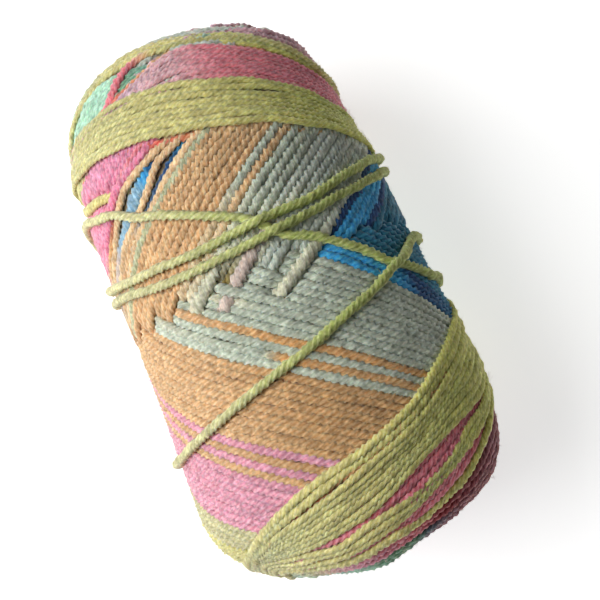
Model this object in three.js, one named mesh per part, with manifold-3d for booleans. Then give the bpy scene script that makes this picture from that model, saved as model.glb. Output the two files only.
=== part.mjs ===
// Skein of wool yarn, lying on its side.
//
// One wound body: a barrel a little fatter at its -Y end, with rounded shoulders and a shallow
// hollow where the winding starts at each end. Bundles of strands climb to the right in the
// upper half and fall to the right in the lower half, so they meet at a plaited waist. Two
// broad bands and four single turns were wound last and lie over the rest.
//
// Units are millimetres and +Z is up. The winding axis runs along Y and dips slightly towards
// +Y, so that the tapered side lies level. The origin is under the middle of the skein.

import * as THREE from "three";
import Module from "manifold-3d";
import { mergeVertices } from "three/addons/utils/BufferGeometryUtils.js";

// Driving dimensions
const LENGTH = 161; // along the winding axis, over both ends
const RADIUS = 42.6; // of the outline at mid length
const TAPER = 0.035; // radius lost for each millimetre towards +Y
const END_SQUARENESS = 6.8; // power of the barrel's long curve
const SHOULDER_ROUNDNESS = 1.8; // power of the curve over the shoulders
const STRAND = 2.7; // diameter of a single turn of yarn
const BODY_INSET = 1.2; // the middle lies this far inside the outline
const BAND_LIFT = 0.8; // the last bands stand this far outside it
const BAND_EDGE = 2.4; // width over which a band rises from the body
const BUNDLES = 18; // bundles of strands, counted round the skein
const BUNDLE_RELIEF = 0.75; // half the height from the groove to the crest of a bundle
const RIB_RELIEF = 0.4; // the same for the ribs along a band
const HOLLOW_RADIUS = 9;
const HOLLOW_DEPTH = 4;
const SETTLE = 1.6; // how far the soft side flattens where it rests
const COLUMNS = 72; // mesh columns round the skein, four to a bundle
const FIRST_BUNDLE = -26; // degrees round the skein of the first bundle at the +Y end
const TURN_STEPS = 60; // mesh steps along a single turn
const TURN_SIDES = 6;
const HALF_TURN_WIDTH = 0.6 * STRAND; // of a turn that is part of the body
const TURN_HEIGHT = 0.7 * STRAND; // how far such a turn stands above the body
const CROSSING_HEIGHT = 0.275 * STRAND; // of the crossing turn's middle above the body
const FULL_RELIEF_RADIUS = 0.8 * RADIUS; // over the ends the bundles fade in up to here

// A path round the skein: its place on the axis is mid + tilt sin(a) + lean cos(a), where the
// angle a is 0 at the top and grows towards +X.
const PATHS = {
  topBandOuter: { mid: 48.5, tilt: -9.2, lean: 7 },
  topBandInner: { mid: 36, tilt: -11.8, lean: 4.5 },
  upperTurn: { mid: 20.5, tilt: 2.6, lean: -8 },
  middleTurn: { mid: 16, tilt: 1.7, lean: -7.5 },
  waist: { mid: 4, tilt: 2, lean: 0 },
  lowerTurn: { mid: -15.5, tilt: 15.6, lean: -6 },
  bottomBandInner: { mid: -42.5, tilt: 18.8, lean: -6.5 },
  bottomBandOuter: { mid: -63, tilt: 4, lean: -8 },
};
const CROSSING_TURN = { mid: 10.5, tilt: -27, lean: 1.5 };

const alongAxis = (path, angle, shift = 0) =>
  path.mid + path.tilt * Math.sin(angle) + path.lean * Math.cos(angle) + shift;

// The zones from the +Y end to the -Y end. A zone lies between two paths, each moved by its
// shift, in half widths of a turn. Its columns turn by twist degrees from its first row to its
// last, and the bundles follow them. phase moves the bundles sideways, in half pitches.
const COLUMN_NAMES = ["kind", "from", "fromShift", "to", "toShift", "rows", "twist", "phase", "ribs"];
const ZONES = [
  ["topEnd", null, 0, "topBandOuter", 0, 8, 80, 0, 0],
  ["band", "topBandOuter", 0, "topBandInner", 0, 9, 0, 0, 3],
  ["bundles", "topBandInner", 0, "upperTurn", 1, 6, -54, 0, 0],
  ["turn", "upperTurn", 1, "upperTurn", -1, 3, 0, 0, 0],
  ["bundles", "upperTurn", -1, "middleTurn", 1, 1, -2, 0, 0],
  ["turn", "middleTurn", 1, "middleTurn", -1, 3, 0, 0, 0],
  ["bundles", "middleTurn", -1, "waist", 0, 2, -8, 0, 0],
  ["bundles", "waist", 0, "lowerTurn", 1, 4, 44, 1, 0],
  ["turn", "lowerTurn", 1, "lowerTurn", -1, 3, 0, 0, 0],
  ["bundles", "lowerTurn", -1, "bottomBandInner", 0, 5, 52, 1, 0],
  ["band", "bottomBandInner", 0, "bottomBandOuter", 0, 10, 0, 0, 4],
  ["bottomEnd", "bottomBandOuter", 0, null, 0, 7, -80, 1, 0],
].map((row) => Object.fromEntries(COLUMN_NAMES.map((name, i) => [name, row[i]])));

const radiusScale = (y) => RADIUS - TAPER * y;

// The barrel's outline is |y / half length|^p + (r / scale)^q = 1.
function outlineRadius(y) {
  const used = Math.abs((2 * y) / LENGTH) ** END_SQUARENESS;
  return radiusScale(y) * Math.max(1 - used, 0) ** (1 / SHOULDER_ROUNDNESS);
}

// Outward direction of the outline at (radius, y), as [radial, axial].
function outlineNormal(radius, y) {
  const scale = radiusScale(y);
  const radial =
    (SHOULDER_ROUNDNESS / scale) * (radius / scale) ** (SHOULDER_ROUNDNESS - 1);
  const axial =
    ((2 * END_SQUARENESS) / LENGTH) * Math.abs((2 * y) / LENGTH) ** (END_SQUARENESS - 1);
  const length = Math.hypot(radial, axial);
  return [radial / length, (Math.sign(y) * axial) / length];
}

// Over the ends, rows are spaced by the angle that runs from 0 at mid length to a quarter turn
// at the pole.
const endAngle = (y) => Math.asin(Math.min(Math.abs((2 * y) / LENGTH), 1) ** (END_SQUARENESS / 2));

function onEnd(angle, side) {
  const y = side * (LENGTH / 2) * Math.sin(angle) ** (2 / END_SQUARENESS);
  return { y, radius: radiusScale(y) * Math.cos(angle) ** (2 / SHOULDER_ROUNDNESS) };
}

function placeOnOutline(zone, share, angle) {
  const quarter = Math.PI / 2;
  if (zone.kind === "topEnd") {
    const edge = endAngle(alongAxis(PATHS[zone.to], angle));
    return onEnd(quarter + (edge - quarter) * share, 1);
  }
  if (zone.kind === "bottomEnd") {
    const edge = endAngle(alongAxis(PATHS[zone.from], angle));
    return onEnd(edge + (quarter - edge) * share, -1);
  }
  const first = alongAxis(PATHS[zone.from], angle, zone.fromShift * HALF_TURN_WIDTH);
  const last = alongAxis(PATHS[zone.to], angle, zone.toShift * HALF_TURN_WIDTH);
  const y = first + (last - first) * share;
  return { y, radius: outlineRadius(y), width: first - last };
}

// How far the surface stands outside the outline.
function lift(zone, share, place, column) {
  const bundlePhase = (2 * Math.PI * BUNDLES * column) / COLUMNS + Math.PI * zone.phase;
  const bundle = BUNDLE_RELIEF * Math.cos(bundlePhase);
  if (zone.kind === "band") {
    const inside = Math.min(share, 1 - share) * place.width;
    const rise = THREE.MathUtils.smoothstep(inside, 0, BAND_EDGE);
    const rib = -RIB_RELIEF * Math.cos(2 * Math.PI * zone.ribs * share);
    return -BODY_INSET + rise * (BODY_INSET + BAND_LIFT + rib);
  }
  if (zone.kind === "turn") return share > 0 ? TURN_HEIGHT - BODY_INSET : -BODY_INSET;
  if (zone.kind === "bundles") return -BODY_INSET + bundle;
  const spread = THREE.MathUtils.smoothstep(place.radius, HOLLOW_RADIUS, FULL_RELIEF_RADIUS);
  return spread * (bundle - BODY_INSET);
}

function surfacePoint(zone, share, column, turned) {
  const angle = (2 * Math.PI * column) / COLUMNS + turned;
  const place = placeOnOutline(zone, share, angle);
  const height = lift(zone, share, place, column);
  const [radial, axial] = outlineNormal(place.radius, place.y);
  const inHollow = Math.min(place.radius / HOLLOW_RADIUS, 1);
  const sunk = (HOLLOW_DEPTH / 2) * (1 + Math.cos(Math.PI * inHollow));
  const radius = place.radius + height * radial;
  const y = place.y + height * axial - Math.sign(place.y) * sunk;
  return [radius * Math.sin(angle), y, radius * Math.cos(angle)];
}

// Every row of the wound body, each a closed loop of COLUMNS points.
function bodyRows() {
  const rows = [];
  let turned = THREE.MathUtils.degToRad(FIRST_BUNDLE);
  for (const zone of ZONES) {
    const first = zone.from === null ? 1 : 0;
    for (let i = first; i < zone.rows; i++) {
      const share = i / zone.rows;
      const here = turned + share * THREE.MathUtils.degToRad(zone.twist);
      rows.push(
        Array.from({ length: COLUMNS }, (_, column) => surfacePoint(zone, share, column, here)),
      );
    }
    turned += THREE.MathUtils.degToRad(zone.twist);
  }
  return rows;
}

// A closed surface from rows of points with a pole at each end.
function skinRows(rows, firstPole, lastPole) {
  const count = rows[0].length;
  const points = [firstPole, ...rows.flat(), lastPole];
  const at = (row, column) => 1 + row * count + (column % count);
  const faces = [];
  for (let c = 0; c < count; c++) {
    faces.push(0, at(0, c), at(0, c + 1));
    for (let r = 0; r + 1 < rows.length; r++) {
      faces.push(at(r, c), at(r + 1, c), at(r + 1, c + 1));
      faces.push(at(r, c), at(r + 1, c + 1), at(r, c + 1));
    }
    faces.push(points.length - 1, at(rows.length - 1, c + 1), at(rows.length - 1, c));
  }
  return { points, faces };
}

// A single turn: a round strand bent into a ring, half sunk into the body.
function ringTurn(path) {
  const half = STRAND / 2;
  const points = [];
  for (let i = 0; i < TURN_STEPS; i++) {
    const angle = (2 * Math.PI * i) / TURN_STEPS;
    const y = alongAxis(path, angle);
    const centre = outlineRadius(y) - BODY_INSET + CROSSING_HEIGHT;
    for (let j = 0; j < TURN_SIDES; j++) {
      const side = (2 * Math.PI * (j + 0.5)) / TURN_SIDES;
      const radius = centre + half * Math.cos(side);
      points.push([radius * Math.sin(angle), y + half * Math.sin(side), radius * Math.cos(angle)]);
    }
  }
  const at = (i, j) => (i % TURN_STEPS) * TURN_SIDES + (j % TURN_SIDES);
  const faces = [];
  for (let i = 0; i < TURN_STEPS; i++) {
    for (let j = 0; j < TURN_SIDES; j++) {
      faces.push(at(i, j), at(i + 1, j), at(i + 1, j + 1));
      faces.push(at(i, j), at(i + 1, j + 1), at(i, j + 1));
    }
  }
  return { points, faces };
}

function toGeometry({ points, faces }) {
  const geometry = new THREE.BufferGeometry();
  geometry.setAttribute("position", new THREE.Float32BufferAttribute(points.flat(), 3));
  geometry.setIndex(faces);
  return geometry;
}

const wasm = await Module();
wasm.setup();

function toSolid(geometry) {
  const merged = mergeVertices(geometry, 1e-4);
  return new wasm.Manifold(
    new wasm.Mesh({
      numProp: 3,
      vertProperties: merged.attributes.position.array,
      triVerts: new Uint32Array(merged.index.array),
    }),
  );
}

function fromSolid(solid) {
  const mesh = solid.getMesh();
  const geometry = new THREE.BufferGeometry();
  geometry.setAttribute("position", new THREE.BufferAttribute(mesh.vertProperties, 3));
  geometry.setIndex(new THREE.BufferAttribute(mesh.triVerts, 1));
  return geometry;
}

// Tilts the axis so that the tapered side is level, puts the origin under the middle, and
// flattens the side that the skein rests on.
function layDown(geometry) {
  geometry.rotateX(-Math.atan(TAPER));
  geometry.computeBoundingBox();
  const middle = geometry.boundingBox.getCenter(new THREE.Vector3());
  geometry.translate(-middle.x, -middle.y, -geometry.boundingBox.min.z - SETTLE);
  const position = geometry.attributes.position;
  for (let i = 0; i < position.count; i++) {
    position.setZ(i, Math.max(position.getZ(i), 0));
  }
  return geometry;
}

function woundSkein() {
  const pole = LENGTH / 2 - HOLLOW_DEPTH;
  const body = toGeometry(skinRows(bodyRows(), [0, pole, 0], [0, -pole, 0]));
  const turn = toGeometry(ringTurn(CROSSING_TURN));
  const wound = toSolid(body).add(toSolid(turn));
  const geometry = layDown(fromSolid(wound));
  geometry.computeVertexNormals();
  return geometry;
}

const wool = new THREE.MeshStandardMaterial({
  name: "wool",
  color: new THREE.Color(0.72, 0.62, 0.5),
  roughness: 0.95,
  metalness: 0,
});

const skein = new THREE.Group();
const wound = new THREE.Mesh(woundSkein(), wool);
wound.name = "wound_skein";
skein.add(wound);

export default skein;
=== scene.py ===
"""Looks of a skein of wool yarn: every visible turn is a plied strand, laid in the order in which it was wound.

The skein is worked out in its own frame, in millimetres: the winding axis is Y, and a place on it is given by an
angle round the axis (0 at the top, growing towards +X) and by a distance along the outline from mid length (towards
+Y). Each strand rests on what was laid before it, through a map of heights, and is then moved into the part's frame.
"""

import math

import bpy
import numpy as np
from mathutils import Matrix, Vector


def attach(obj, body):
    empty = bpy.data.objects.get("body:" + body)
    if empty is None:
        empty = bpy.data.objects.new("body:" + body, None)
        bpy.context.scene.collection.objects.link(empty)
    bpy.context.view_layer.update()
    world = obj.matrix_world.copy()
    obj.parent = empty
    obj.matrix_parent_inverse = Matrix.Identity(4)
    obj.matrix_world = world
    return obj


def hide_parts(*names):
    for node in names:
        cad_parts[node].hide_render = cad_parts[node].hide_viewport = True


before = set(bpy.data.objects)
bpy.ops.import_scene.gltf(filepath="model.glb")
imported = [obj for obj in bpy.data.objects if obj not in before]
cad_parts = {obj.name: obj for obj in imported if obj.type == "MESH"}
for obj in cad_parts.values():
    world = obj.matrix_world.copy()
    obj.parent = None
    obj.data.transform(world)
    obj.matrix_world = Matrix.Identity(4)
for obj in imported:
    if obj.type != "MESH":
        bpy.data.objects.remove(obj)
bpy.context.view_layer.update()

MM = 0.001

# Driving dimensions, as in the part's source
LENGTH = 161.0  # along the winding axis
RADIUS = 42.6  # of the outline at mid length
TAPER = 0.035  # radius lost for each millimetre towards +Y
END_SQUARENESS = 6.8
SHOULDER_ROUNDNESS = 1.8
AXIS_AT = (-0.27, 0.07, 41.88)  # middle of the winding axis, in the part's frame

# The yarn
STRAND_RADIUS = 1.15
PLIES = 4
LAY = 7.6  # length of one turn of the plies
GROOVE = 0.67  # radius in the groove between two plies, as a share of the strand's
SPREAD = 1.38  # a strand pressed on others is this much wider than high
MESH_STEP = 0.66  # length of one ring of faces along a strand
WIND_STEP = MESH_STEP / 2

rng = np.random.default_rng(7)


# The outline and the surface that the strands are wound on

def outline_curve():
    """Points along the outline from the -Y pole to the +Y pole, as (radius, y) with the outward normal."""
    half = LENGTH / 2
    straight = np.linspace(-0.72, 0.72, 240) * half
    edge = math.asin(0.72 ** (END_SQUARENESS / 2))
    turn = np.linspace(edge, math.pi / 2, 400)[1:]
    end = half * np.sin(turn) ** (2 / END_SQUARENESS)
    y = np.concatenate([-end[::-1], straight, end])
    scale = RADIUS - TAPER * y
    radius = scale * np.clip(1 - np.abs(y / half) ** END_SQUARENESS, 0, 1) ** (1 / SHOULDER_ROUNDNESS)
    radius[0] = radius[-1] = 0.0
    dr = np.gradient(radius)
    dy = np.gradient(y)
    size = np.hypot(dr, dy)
    return radius, y, dy / size, -dr / size


# The first layer lies this deep under the outline, and deeper where bands cover it.
BED_DEPTH = 2.05
BAND_DEPTH = 1.9
BAND_FADE = 8.0
# Places where the real skein is fuller than its even outline: angle, y, reach in degrees and mm, height
BULGES = (
    {"angle": -80, "y": -55, "reach": (24, 11), "height": 1.5},
    {"angle": 82, "y": -42, "reach": (26, 14), "height": 2.0},
    {"angle": 88, "y": 38, "reach": (26, 14), "height": 0.5},
    {"angle": -85, "y": -8, "reach": (30, 25), "height": -0.7},
    {"angle": 0, "y": 78, "reach": (85, 8), "height": -1.6},
    {"angle": 35, "y": -79, "reach": (36, 6), "height": -1.3},
    {"angle": -70, "y": -72, "reach": (20, 7), "height": -1.0},
)
HOLLOW_RADIUS = 9.0
HOLLOW_DEPTH = 10.0

# Rows give y at these angles, and a negative angle is the photo's left side.
STATIONS = (-90, -60, -40, -20, 0, 20, 40, 60, 90, 180)
TOP_BAND = {
    "upper": (57.5, 59, 59.8, 58.6, 55.2, 50.4, 44.6, 38.8, 35, 43),
    "lower": (49, 48.3, 47, 44.2, 39.9, 36.3, 31.3, 27.5, 23, 34),
}
BOTTOM_EDGE = (-66, -62, -57.9, -53.2, -50.3, -45.4, -38.2, -31, -22, -38)


def smooth_step(value):
    x = np.clip(value, 0, 1)
    return x * x * (3 - 2 * x)


def smooth_route(knots, closed, samples=720):
    """A smooth curve through (angle in degrees, s) knots. A closed one repeats after a full turn."""
    a = np.radians([k[0] for k in knots])
    v = np.array([k[1] for k in knots], float)
    if closed:
        a = np.concatenate([a[-2:] - 2 * math.pi, a, a[:2] + 2 * math.pi])
        v = np.concatenate([v[-2:], v, v[:2]])
    slope = np.gradient(v, a)
    first, last = (a[2], a[2] + 2 * math.pi) if closed else (a[0], a[-1])
    at = np.linspace(first, last, samples + 1)
    i = np.clip(np.searchsorted(a, at, side="right") - 1, 0, len(a) - 2)
    width = a[i + 1] - a[i]
    t = (at - a[i]) / width
    value = (
        (2 * t**3 - 3 * t**2 + 1) * v[i] + (t**3 - 2 * t**2 + t) * width * slope[i]
        + (3 * t**2 - 2 * t**3) * v[i + 1] + (t**3 - t**2) * width * slope[i + 1]
    )
    return at, value


def height_of(row, angle):
    at, value = smooth_route(list(zip(STATIONS, row)), True)
    return np.interp((angle - at[0]) % (2 * math.pi) + at[0], at, value)


class Surface:
    def __init__(self):
        radius, y, nr, ny = outline_curve()
        self.outline = (radius, y)
        sunk = 0.5 * HOLLOW_DEPTH * (1 + np.cos(np.pi * np.clip(radius / HOLLOW_RADIUS, 0, 1)))
        self.radius = radius
        self.y = y - np.sign(y) * sunk
        self.nr, self.ny = nr, ny
        lengths = np.hypot(np.diff(radius), np.diff(y))
        s = np.concatenate([[0], np.cumsum(lengths)])
        self.s = s - np.interp(0, y, s)

    def depth(self, angle, s):
        """How far the bed of the first layer lies inside the outline."""
        y = np.interp(s, self.s, self.outline[1])
        banded = np.maximum(
            smooth_step((y - height_of(TOP_BAND["lower"], angle)) / BAND_FADE),
            smooth_step((height_of(BOTTOM_EDGE, angle) - y) / BAND_FADE),
        )
        depth = BED_DEPTH + BAND_DEPTH * banded * (1 - smooth_step((np.abs(y) - 52) / 26))
        for bulge in BULGES:
            aside = (np.degrees(angle) - bulge["angle"] + 180) % 360 - 180
            away = (aside / bulge["reach"][0]) ** 2 + ((y - bulge["y"]) / bulge["reach"][1]) ** 2
            depth = depth - bulge["height"] * np.exp(-away)
        return depth

    def at(self, angle, s):
        """Points, outward normals and directions along the outline, of the bed at angles and distances."""
        radius = np.interp(s, self.s, self.radius)
        y = np.interp(s, self.s, self.y)
        nr = np.interp(s, self.s, self.nr)
        ny = np.interp(s, self.s, self.ny)
        sin, cos = np.sin(angle), np.cos(angle)
        normal = np.stack([nr * sin, ny, nr * cos], -1)
        upwards = np.stack([-ny * sin, nr, -ny * cos], -1)
        point = np.stack([radius * sin, y, radius * cos], -1)
        return point - normal * self.depth(angle, s)[..., None], normal, upwards

    def s_of_y(self, y):
        return np.interp(y, self.outline[1], self.s)


surface = Surface()


# Winding

CELL = 0.5
CROWDING = 1.32  # strands of a band are this much wider than their pitch
BAND_SIZES = (0.7, 1.05)  # thickness of a strand in a band, as a share of a single one's
CONTACT = (-0.45, 0.0, 0.45)  # where a strand feels what lies under it, across its width
COVER = (-0.75, -0.4, 0.0, 0.4, 0.75)  # where it then lies in the way of the next
SQUEEZE = 0.6  # a strand pressed on another sinks in: this share of its radius is left above it
REST_HEIGHT = 0.9  # middle of a strand of the first layer, above its bed
EVEN_DROP = 0.9  # strands of a band lie no lower than this under their level
DEEPEST = 1.9  # how far a strand of a layer can dip under the others
BURIED = 1.5  # what lies this many radii under the top, over its whole width, is out of sight
TUCK = 2.2  # a stretch that shows goes on out of sight for this length


# How much higher the bands lie over the two ends, at the stations
TOP_RISE = (1.3, 0.6, 0.1, -0.4, -1.2, -1.8, -0.9, 0.6, 1.2, 1.0)
BOTTOM_RISE = (-0.6, -1.0, 0.4, 2.0, 1.6, -0.2, -0.4, 0.0, 0.2, 0.8)


class Winding:
    def __init__(self):
        self.first = surface.s[0]
        self.rows = int((surface.s[-1] - surface.s[0]) / CELL) + 2
        radius = np.interp(self.first + (np.arange(self.rows) + 0.5) * CELL, surface.s, surface.radius)
        self.columns = np.maximum(24, (2 * math.pi * radius / CELL).astype(int))
        self.top = np.zeros((self.rows, self.columns.max()))
        self.strands = []

    def cells(self, run, offset):
        """The cells of the map under a line beside the strand's middle."""
        row = np.clip(((run.s + run.across_s * offset - self.first) / CELL).astype(int), 0, self.rows - 1)
        turn = (run.angle + run.across_turn * offset) / (2 * math.pi)
        column = (turn % 1 * self.columns[row]).astype(int) % self.columns[row]
        return row, column

    def add(self, run, height):
        for offset in COVER:
            place = self.cells(run, offset)
            np.maximum.at(self.top, place, height + math.sqrt(STRAND_RADIUS**2 - offset**2))
        self.strands.append((run, height))

    def lay_over(self, runs, pull=260, uneven=0.0, ceiling=1.0, even=False):
        """Lays strands side by side on top of all that is there, each pulled tight between the places it touches.

        No strand's middle rises more than the ceiling above the outline: what lies under it gives way. Strands that
        are laid evenly share most of their height.
        """
        laid = []
        for run in runs:
            need = np.full(len(run.place), REST_HEIGHT)
            for offset in CONTACT:
                lift = SQUEEZE * math.sqrt(STRAND_RADIUS**2 - offset**2)
                need = np.maximum(need, self.top[self.cells(run, offset)] + lift)
            y = np.interp(run.s, surface.s, surface.outline[1])
            rise = np.where(y > 0, height_of(TOP_RISE, run.angle), height_of(BOTTOM_RISE, run.angle))
            most = surface.depth(run.angle, run.s) + ceiling + rise * smooth_step((np.abs(y) - 50) / 18)
            if even:
                need = np.maximum(need, most - EVEN_DROP)
            need = np.where(need > most - 1, most - 1 + np.tanh(need - most + 1), need)
            height = need.copy()
            sag = WIND_STEP**2 / (2 * RADIUS)
            for _ in range(pull):
                height = np.maximum(need, neighbours(height, run.closed) - sag)
            laid.append((run, height))
        if even:
            laid = evened(laid)
        for run, height in laid:
            self.add(run, height + slow_waves(run.length, run.at, uneven) - run.sunk)

    def lay_layer(self, runs, soften=40):
        """Lays a layer of crossing strands at one level: each dips under those that were wound after it.

        Strands of one family lie side by side and leave each other alone.
        """
        under = {}
        laid = []
        for run in reversed(runs):
            level = REST_HEIGHT - run.sunk
            room = level.copy()
            for family, bottom in under.items():
                if family and family == run.family:
                    continue
                for offset in CONTACT:
                    lift = SQUEEZE * math.sqrt(STRAND_RADIUS**2 - offset**2)
                    room = np.minimum(room, bottom[self.cells(run, offset)] - lift)
            room = np.maximum(room, level - DEEPEST)
            height = room.copy()
            for _ in range(soften):
                height = np.minimum(room, neighbours(height, run.closed))
            bottom = under.setdefault(run.family, np.full_like(self.top, 99.0))
            for offset in COVER:
                np.minimum.at(bottom, self.cells(run, offset), height - math.sqrt(STRAND_RADIUS**2 - offset**2))
            laid.append((run, height))
        for run, height in reversed(laid):
            self.add(run, height)

    def shown(self, run, height):
        """The stretches of a strand that are not buried, as (places, closed)."""
        cover = np.full(len(height), 99.0)
        for offset in (-1.0, -0.5, 0.0, 0.5, 1.0):
            cover = np.minimum(cover, self.top[self.cells(run, offset)] - height)
        seen = cover < BURIED * STRAND_RADIUS
        reach = int(TUCK / WIND_STEP)
        count = len(seen)
        if seen.all():
            return [(np.arange(count), run.closed)]
        if not seen.any():
            return []
        order = np.arange(count)
        if run.closed:
            order = (order + int(np.argmin(seen))) % count
        wide = np.convolve(np.pad(seen, reach, mode="wrap" if run.closed else "constant"), np.ones(2 * reach + 1), "valid") > 0
        if wide.all():
            return [(np.arange(count), run.closed)]
        if run.closed:
            order = (np.arange(count) + int(np.argmin(wide))) % count
        flags = np.concatenate([[False], wide[order], [False]]).astype(int)
        starts = np.nonzero(np.diff(flags) > 0)[0]
        stops = np.nonzero(np.diff(flags) < 0)[0]
        return [(order[a:b], False) for a, b in zip(starts, stops) if b - a > 2 * reach]


def evened(laid):
    """Heights of strands that lie side by side all round, drawn towards the height of the whole band."""
    angles = np.linspace(0, 2 * math.pi, 720, endpoint=False)
    rows = []
    for run, height in laid:
        turn = run.angle % (2 * math.pi)
        order = np.argsort(turn)
        rows.append(np.interp(angles, turn[order], height[order], period=2 * math.pi))
    level = (np.mean(rows, axis=0) + np.max(rows, axis=0)) / 2
    window = np.hanning(25) / np.hanning(25).sum()
    level = np.convolve(np.concatenate([level[-12:], level, level[:12]]), window, "valid")
    return [
        (run, 0.25 * height + 0.75 * np.interp(run.angle % (2 * math.pi), angles, level, period=2 * math.pi))
        for run, height in laid
    ]


def neighbours(height, closed):
    """The mean of the heights before and after each place."""
    if closed:
        return (np.roll(height, -1) + np.roll(height, 1)) / 2
    return (np.append(height[1:], height[-1]) + np.insert(height[:-1], 0, height[0])) / 2


def slow_waves(length, at, size):
    """A slow random wander along a strand, the same at both ends of a closed one."""
    drift = np.zeros(len(at))
    for wave in (60.0, 31.0, 17.0):
        cycles = max(1, round(length / wave))
        phase = rng.uniform(0, 2 * math.pi)
        drift += rng.normal(0, size / 1.7) * np.sin(2 * math.pi * cycles * at / length + phase)
    return drift


class Run:
    """The way of one strand over the bed, in even steps, with a slow random sway sideways."""

    def __init__(self, piece, dye, angle, s, closed=False, sway=0.25, sunk=0.0, family=None, loose=False, size=1.0):
        place, _, _ = surface.at(angle, s)
        steps = np.linalg.norm(np.diff(place, axis=0), axis=1)
        passed = np.concatenate([[0], np.cumsum(steps)])
        length = passed[-1]
        count = max(8, int(length / WIND_STEP) // 2 * 2)
        at = np.linspace(0, length, count + 1)
        if closed:
            at = at[:-1]
        drift = slow_waves(length, at, sway)
        self.piece = piece
        self.closed = closed
        self.loose = loose
        self.family = family
        self.length = length
        self.at = at
        self.angle = np.interp(at, passed, angle)
        self.s = np.interp(at, passed, s) + drift
        self.place, self.normal, upwards = surface.at(self.angle, self.s)
        across = np.cross(tangents(self.place, closed), self.normal)
        round_way = np.stack([np.cos(self.angle), np.zeros(len(at)), -np.sin(self.angle)], 1)
        radius = np.maximum(np.hypot(self.place[:, 0], self.place[:, 2]), 2.0)
        self.across_turn = (across * round_way).sum(1) / radius
        self.across_s = (across * upwards).sum(1)
        self.sunk = along_angle(sunk, self.angle)
        self.size = along_angle(size, self.angle)
        self.colour = dyed(dye, self.angle)


def along_angle(value, angle):
    """One value for a whole strand, or values at given angles in degrees."""
    if isinstance(value, (int, float)):
        return np.full(len(angle), float(value))
    return np.interp(np.degrees(angle), [a for a, _ in value], [v for _, v in value])


def tangents(points, closed):
    if closed:
        step = np.roll(points, -1, 0) - np.roll(points, 1, 0)
    else:
        step = np.gradient(points, axis=0)
    return step / np.linalg.norm(step, axis=1, keepdims=True)


# Dyes, as sRGB. The yarn is dyed in long runs, so a strand keeps one dye or fades into the next; some fades stand for
# painted light and shade, as noted where they are set.

DYES = {
    "lime_left": (0.83, 0.81, 0.6),
    "lime": (0.88, 0.85, 0.6),
    "lime_right": (0.86, 0.86, 0.53),
    "pale_leaf": (0.86, 0.85, 0.67),
    "leaf": (0.77, 0.81, 0.52),
    "pale_lime": (0.82, 0.8, 0.64),
    "peach": (0.89, 0.745, 0.58),
    "light_peach": (0.93, 0.81, 0.66),
    "tan": (0.84, 0.69, 0.51),
    "orange": (0.87, 0.7, 0.5),
    "cream": (0.86, 0.86, 0.77),
    "warm_cream": (0.88, 0.8, 0.67),
    "blush": (0.86, 0.8, 0.76),
    "grey": (0.8, 0.83, 0.765),
    "silver": (0.82, 0.85, 0.8),
    "sage": (0.8, 0.81, 0.68),
    "sky": (0.66, 0.8, 0.88),
    "blue": (0.36, 0.75, 0.95),
    "navy": (0.22, 0.38, 0.58),
    "teal": (0.25, 0.54, 0.65),
    "mint": (0.72, 0.87, 0.78),
    "green": (0.56, 0.72, 0.6),
    "slate": (0.45, 0.52, 0.57),
    "light_pink": (0.94, 0.76, 0.78),
    "hot_pink": (0.96, 0.63, 0.73),
    "pink": (0.9, 0.67, 0.73),
    "rose": (0.95, 0.6, 0.64),
    "coral": (0.9, 0.5, 0.45),
    "maroon": (0.66, 0.3, 0.32),
    "mauve": (0.68, 0.47, 0.5),
    "dusty": (0.88, 0.72, 0.75),
    # painted shade, used where strands dip under others at the waist
    "olive": (0.6, 0.54, 0.33),
}
# The turns wound last have more green in them. Painted light and shade: the lime and leaf strands are paler on the lit
# left side and deeper in colour on the shaded right.
LIME_LIT_LEFT = ((-90, "lime_left"), (-40, "lime_left"), (0, "lime"), (45, "lime_right"), (120, "lime_right"), (180, "lime"))
LEAF_LIT_LEFT = ((-90, "pale_leaf"), (-40, "pale_leaf"), (10, "leaf"), (120, "leaf"), (180, "leaf"))

# Painted shade: falling peach strands turn a darker tan towards the shaded right side.
PEACH_SHADED_RIGHT = ((-90, "peach"), (-36, "peach"), (-10, "tan"), (60, "tan"), (180, "peach"))


def linear(colour):
    c = np.asarray(colour, float)
    return np.where(c <= 0.04045, c / 12.92, ((c + 0.055) / 1.055) ** 2.4)


def dyed(dye, angle):
    """Linear colours along a strand: one dye, or dyes at given angles in degrees that fade into each other."""
    if isinstance(dye, str):
        colour = np.tile(linear(DYES[dye]), (len(angle), 1))
    else:
        stations = sorted(dye)
        first = stations[0]
        stations = stations + [(first[0] + 360, first[1])]
        turn = np.degrees(angle)
        turn = (turn - first[0]) % 360 + first[0]
        table = np.array([linear(DYES[name]) for _, name in stations])
        colour = np.stack([np.interp(turn, [a for a, _ in stations], table[:, i]) for i in range(3)], 1)
    return colour * (1 + rng.normal(0, 0.035))


# Route helpers

def edge(row):
    return [(a, float(surface.s_of_y(y))) for a, y in zip(STATIONS, row)]


def lay_band(winding, band):
    """Strands side by side between two edges, given as y at the stations, each as slim as its share of the width."""
    at, top = smooth_route(edge(band["upper"]), True)
    _, bottom = smooth_route(edge(band["lower"]), True)
    pitch = (top - bottom) / band["strands"]
    size = np.clip(CROWDING * pitch / (2 * STRAND_RADIUS * SPREAD), *BAND_SIZES)
    sizes = list(zip(np.degrees(at), size))
    runs = []
    for i in range(band["strands"]):
        s = top + (bottom - top) * (i + 0.5) / band["strands"]
        runs.append(Run(band["piece"], band["dye"], at, s, closed=True, sunk=band.get("sunk", 0.0), size=sizes))
    winding.lay_over(runs, uneven=0.1, ceiling=band["level"], even=True)


# The chevron: strands that climb to the right above the waist, and strands that fall to the right below it.

PITCH = 5.0  # degrees between strands at the waist
GROUP = 3  # strands laid in one go before the other side follows
BEFORE_WAIST = -14  # a strand starts this far before it passes the waist, under the others
FIRST = -123.0  # the winding starts here and works round towards smaller angles

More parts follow.
